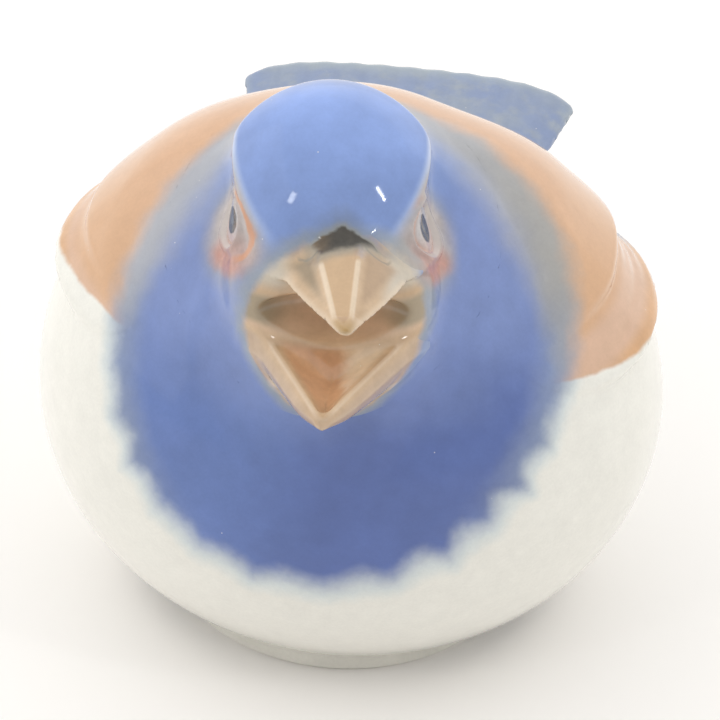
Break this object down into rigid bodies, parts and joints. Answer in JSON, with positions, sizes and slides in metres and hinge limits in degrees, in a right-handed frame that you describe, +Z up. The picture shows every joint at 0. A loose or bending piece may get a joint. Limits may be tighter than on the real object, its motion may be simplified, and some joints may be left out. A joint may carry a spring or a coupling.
{
  "type": "bird figurine",
  "caption": "Round hollow glazed porcelain songbird with an open bill, folded wings and a flat tail, standing on a foot ring.",
  "frame": {"origin": "on the surface that the bird stands on, below the middle of its overall box", "axes": "-Y the way the body faces, +Y along the tail, +X to the bird's left, +Z up"},
  "size_m": [0.078, 0.1058, 0.0761],
  "materials": {
    "belly_glaze": "clear gloss glaze over cream-white porcelain with a blue painted bib",
    "blue_glaze": "clear gloss glaze over cobalt blue underglaze",
    "bill_glaze": "clear gloss glaze over tan underglaze",
    "eye_glaze": "clear gloss glaze over painted rings",
    "peach_glaze": "clear gloss glaze over peach underglaze",
    "tail_glaze": "clear gloss glaze over mottled blue underglaze",
    "foot_glaze": "clear gloss glaze, ground bare where it stands",
    "bare_porcelain": "unglazed matt porcelain"
  },
  "bodies": {
    "root": {"body_shell": "belly_glaze", "head_shell": "blue_glaze", "upper_mandible": "bill_glaze", "lower_mandible": "bill_glaze", "left_eye": "eye_glaze", "right_eye": "eye_glaze", "left_wing": "peach_glaze", "right_wing": "peach_glaze", "left_flight_feathers": "peach_glaze", "right_flight_feathers": "peach_glaze", "tail": "tail_glaze", "foot_ring": "foot_glaze", "base_plate": "bare_porcelain"}
  },
  "joints": []
}
